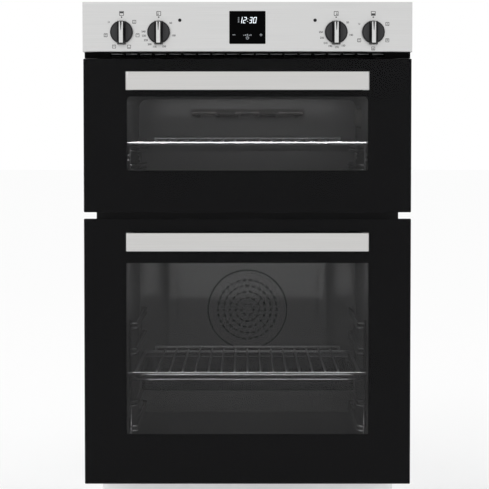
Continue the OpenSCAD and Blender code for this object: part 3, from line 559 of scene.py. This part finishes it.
def lamp_sign(x, z):
    """A ring with eight rays."""
    loops = [disc(x, z, 1.0 * MM, 12), disc(x, z, 0.6 * MM, 12)]
    inner, outer = 1.4 * MM, 2.1 * MM
    for i in range(8):
        angle = math.tau * i / 8
        c, s = math.cos(angle), math.sin(angle)
        loops.append(stroke(x + inner * c, z + inner * s, x + outer * c, z + outer * s, 0.4 * MM))
    return loops


def around(center, degrees, radius):
    """A place round a knob, clockwise from the top."""
    angle = math.radians(degrees)
    return center.x + radius * math.sin(angle), center.z + radius * math.cos(angle)


def selector_marks(name, scale):
    """Function signs round a selector; scale holds (degrees, the signs inside the frame)."""
    center = middle(name + "_shaft")
    loops = []
    for degrees, signs in scale:
        x, z = around(center, degrees, SIGN_RADIUS)
        if lamp_sign not in signs:
            loops += sign_frame(x, z)
        for sign in signs:
            loops += sign(x, z)
    flat_piece(name + "_marks", loops, PRINT_Y, MARK_T, PRINT, "cabinet")


def heat_marks(name, scale):
    """Numbers round a temperature knob, a little further out where they are longer."""
    center = middle(name + "_shaft")
    texts = []
    for degrees, words in scale:
        x, z = around(center, degrees, FIGURE_RADIUS + 0.5 * MM * len(words))
        texts.append((words, x, z, FIGURE_H))
    figures(name + "_numbers", texts, PRINT_Y, PRINT, "cabinet")


def knob_heading(name, filled):
    """The dot over a knob and the oven sign above it; filled is top, bottom, heat_left or heat_right."""
    center = middle(name + "_shaft")
    x, z = center.x, center.z + HEADING_UP
    half = 4.1 * MM
    clear = half - 0.9 * MM
    loops = [disc(x, center.z + DOT_UP, 1.3 * MM, 12)]
    loops.append(round_rectangle(x - half, x + half, z - half, z + half, 0.8 * MM, 3))
    loops.append(rectangle(x - clear, x + clear, z - clear, z + clear))
    if filled == "top":
        loops.append(rectangle(x - 3 * MM, x + 3 * MM, z + 0.3 * MM, z + 2.8 * MM))
    if filled == "bottom":
        loops.append(rectangle(x - 3 * MM, x + 3 * MM, z - 2.8 * MM, z + 0.1 * MM))
    if filled.startswith("heat"):
        tube_x = x + (-1 if filled.endswith("left") else 1) * 1.2 * MM
        loops.append(disc(tube_x, z - 1.4 * MM, 1.1 * MM, 12))
        loops.append(rectangle(tube_x - 0.4 * MM, tube_x + 0.4 * MM, z - 0.3 * MM, z + 2.6 * MM))
    flat_piece(name + "_heading", loops, PRINT_Y, MARK_T, PRINT, "cabinet")


selector_marks("grill_mode", [
    (51, (top_bar, bottom_bar)), (101, (top_bar,)), (153, (bottom_bar,)), (208, (zigzag,)),
    (259, (zigzag, bottom_bar)), (308, (lamp_sign,)),
])
selector_marks("main_mode", [
    (60, (fan_sign,)), (120, (fan_sign, top_bar)), (180, (fan_sign, bottom_bar)),
    (240, (top_bar, bottom_bar)), (300, (lamp_sign,)),
])
heat_marks("grill_temp", [
    (53, "50"), (103, "100"), (160, "150"), (196, "175"), (217, "200"), (238, "220"), (256, "230"),
    (272, "240"),
])
heat_marks("main_temp", [
    (50, "50"), (101, "100"), (152, "150"), (178, "170"), (203, "190"), (224, "210"), (248, "230"),
    (270, "250"),
])
for knob, fill in zip(KNOBS, ("top", "heat_left", "heat_right", "bottom")):
    knob_heading(knob, fill)


def pointer_fill(name):
    """The dark filling in the groove of a knob's bright strip."""
    low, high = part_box(name + "_insert")
    center = middle(name + "_shaft")
    top, foot = high[2] - 0.3 * MM, center.z + 3 * MM
    half_top, half_foot = 1.3 * MM, 0.3 * MM
    loop = [(center.x - half_top, top), (center.x - half_foot, foot), (center.x + half_foot, foot),
            (center.x + half_top, top)]
    flat_piece(name + "_pointer", [loop], low[1] + 1.2 * MM, 0.5 * MM, PRINT, name + "_control")


def knob_rim(name):
    """The darker band round a knob's face."""
    low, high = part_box(name + "_knob")
    center = middle(name + "_shaft")
    radius = (high[0] - low[0]) / 2
    thickness = 0.1 * MM
    loops = [disc(center.x, center.z, radius - inset, 64) for inset in (0.9 * MM, 2.3 * MM)]
    flat_piece(name + "_rim", loops, low[1] + GRIP_DEPTH - thickness, thickness, PRINT, name + "_control")


for knob in KNOBS:
    pointer_fill(knob)
for knob in KNOBS:
    knob_rim(knob)


# ---------------------------------------------------------------- inside the ovens

def bead(name, points, radius, material, body):
    """A closed round bead along points."""
    curve = bpy.data.curves.new(name, "CURVE")
    curve.dimensions = "3D"
    curve.bevel_depth = radius
    curve.bevel_resolution = 3
    spline = curve.splines.new("POLY")
    spline.points.add(len(points) - 1)
    for point, place_at in zip(spline.points, points):
        point.co = (*place_at, 1)
    spline.use_cyclic_u = True
    mesh = evaluated_mesh(bpy.data.objects.new(name + "_path", curve))
    for face in mesh.polygons:
        face.use_smooth = True
    link_piece(name, mesh, material, body)


def tray_rim():
    """The rolled bead round the baking tray's flange, in bright chrome rather than the tray's black enamel:
    partly real bead, partly painted highlight along the rim.
    """
    low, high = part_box("baking_tray")
    corner, inset, sink, radius = 28 * MM, 0.4 * MM, 0.3 * MM, 1.1 * MM
    outline = round_rectangle(low[0] + inset, high[0] - inset, low[1] + inset, high[1] - inset,
                              corner - inset, 10)
    points = [(x, y, high[2] - sink) for x, y in outline]
    # The chrome finish is a painted highlight; the real rim shares the tray's black enamel.
    bead("tray_rim", points, radius, MATERIALS["wire_chrome"], "tray_slide")


def fan_disc_line():
    """A dark ring painted as the shadow in the narrow gap between the fan's perforated disc and its cover.
    """
    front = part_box("fan_cover")[0][1]
    center = middle("convection_fan")
    loops = [disc(center.x, center.z, radius, 96) for radius in (81.8 * MM, 78.8 * MM)]
    # Painted shadow: a ring in the dark print's colour where the gap's shade falls.
    flat_piece("fan_disc_painted_shadow", loops, front + 2.8 * MM, 0.15 * MM, PRINT, "cabinet")


tray_rim()
fan_disc_line()


# ---------------------------------------------------------------- floor, light and camera

FLOOR_Z = -0.10
FLOOR_HALF, FLOOR_T = 40, 0.02
# The plinth's insets from the casing's sides and from its front, and its gap under the base
PLINTH_INSET, PLINTH_FRONT, PLINTH_GAP = 0.004, 0.07, 0.0004


def stage_box(name, low, high, material):
    """A plain block that belongs to the stage."""
    mesh = bpy.data.meshes.new(name)
    shape = bmesh.new()
    bmesh.ops.create_cube(shape, size=1)
    low, high = Vector(low), Vector(high)
    fit = Matrix.Translation((low + high) / 2) @ Matrix.Diagonal((*(high - low), 1))
    bmesh.ops.transform(shape, verts=shape.verts, matrix=fit)
    shape.to_mesh(mesh)
    shape.free()
    box = bpy.data.objects.new(name, mesh)
    bpy.context.scene.collection.objects.link(box)
    mesh.materials.append(material)


PALE = new_material("pale_stage", (0.97, 0.97, 0.97), 0.9, Specular_IOR_Level=0.0)
stage_box("floor", (-FLOOR_HALF, -FLOOR_HALF, FLOOR_Z - FLOOR_T), (FLOOR_HALF, FLOOR_HALF, FLOOR_Z), PALE)
base_low, base_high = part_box("base_plate")
stage_box("plinth", (base_low[0] + PLINTH_INSET, PLINTH_FRONT, FLOOR_Z),
          (base_high[0] - PLINTH_INSET, base_high[1] - PLINTH_INSET, -PLINTH_GAP), PALE)

world = bpy.data.worlds.new("studio")
bpy.context.scene.world = world
world.use_nodes = True
world.node_tree.nodes["Background"].inputs["Color"].default_value = (1, 1, 1, 1)
world.node_tree.nodes["Background"].inputs["Strength"].default_value = 1.0


def area_light(name, place_at, look_at, size, power, spread=180):
    """A rectangular light; power is in watts and spread in degrees."""
    light = bpy.data.lights.new(name, "AREA")
    light.spread = math.radians(spread)
    light.shape = "RECTANGLE"
    light.size, light.size_y = size
    light.energy = power
    lamp = bpy.data.objects.new(name, light)
    lamp.location = place_at
    direction = Vector(look_at) - Vector(place_at)
    lamp.rotation_euler = direction.to_track_quat("-Z", "Y").to_euler()
    bpy.context.scene.collection.objects.link(lamp)


KEY_PLACE, KEY_TARGET, KEY_SIZE, KEY_POWER = (-1.6, -2.4, 2.6), (0, 0, 0.5), (1.6, 1.2), 12
area_light("key", KEY_PLACE, KEY_TARGET, KEY_SIZE, KEY_POWER)

# Inside the ovens, just behind the doors: two in the lower one and one in the upper one
STRIP_W, STRIP_H = 0.40, 0.03
main_floor, main_ceiling = (corner[2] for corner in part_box("main_cavity"))
grill_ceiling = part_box("grill_cavity")[1][2]
area_light("main_oven_light", (0, 0.03, main_ceiling - 0.02), (0, 0.3, 0.15), (STRIP_W, STRIP_H), 0.33)
area_light("main_low_light", (0, 0.012, main_floor + 0.03), (0, 0.4, main_floor + 0.02),
           (STRIP_W, STRIP_H), 0.15)
area_light("grill_oven_light", (0, 0.03, grill_ceiling - 0.012), (0, 0.4, 0.60), (STRIP_W, 0.012), 0.21,
           spread=120)

# The rear wall's upper part is brighter
BEAM_Y, BEAM_Z, BEAM_H, BEAM_POWER_PER_M = 0.30, 0.364, 0.115, 0.042
for x, width in ((0, 0.314), (-0.2, 0.036), (0.2, 0.036)):
    area_light("rear_wall_light", (x, BEAM_Y, BEAM_Z), (x, 1, BEAM_Z), (width, BEAM_H),
               BEAM_POWER_PER_M * width, spread=12)

# Each shelf's front rod and the tray's rim catch the light
ROD_R, SLIT = 3 * MM, 0.003
for name, power in (("main_shelf", 0.008), ("grill_shelf", 0.10)):
    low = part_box(name)[0]
    rod_y, rod_z = low[1] + ROD_R, low[2] + ROD_R
    area_light(name + "_light", (0, low[1] - 8 * MM, rod_z + 40 * MM), (0, rod_y, rod_z), (0.43, SLIT),
               power, spread=40)
tray_low, tray_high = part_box("baking_tray")
area_light("baking_tray_light", (0, tray_low[1] - 10 * MM, tray_high[2] - 35 * MM),
           (0, tray_low[1], tray_high[2]), (0.38, SLIT), 0.03, spread=70)

CAMERA_DISTANCE, CAMERA_HEIGHT, CAMERA_PITCH = 3.48985, 0.63447, 2.75
SENSOR_W, LENS, SHIFT_X, SHIFT_Y, CLIP_END = 36, 142, -0.006, -0.03, 50
camera_data = bpy.data.cameras.new("camera")
camera_data.sensor_width = SENSOR_W
camera_data.lens = LENS
camera_data.shift_x = SHIFT_X
camera_data.shift_y = SHIFT_Y
camera_data.clip_end = CLIP_END
camera = bpy.data.objects.new("camera", camera_data)
camera.location = (0, FASCIA_FRONT - CAMERA_DISTANCE, CAMERA_HEIGHT)
camera.rotation_euler = (math.radians(90 - CAMERA_PITCH), 0, 0)
bpy.context.scene.collection.objects.link(camera)
bpy.context.scene.camera = camera
bpy.context.scene.view_settings.view_transform = "Standard"

bpy.context.view_layer.update()
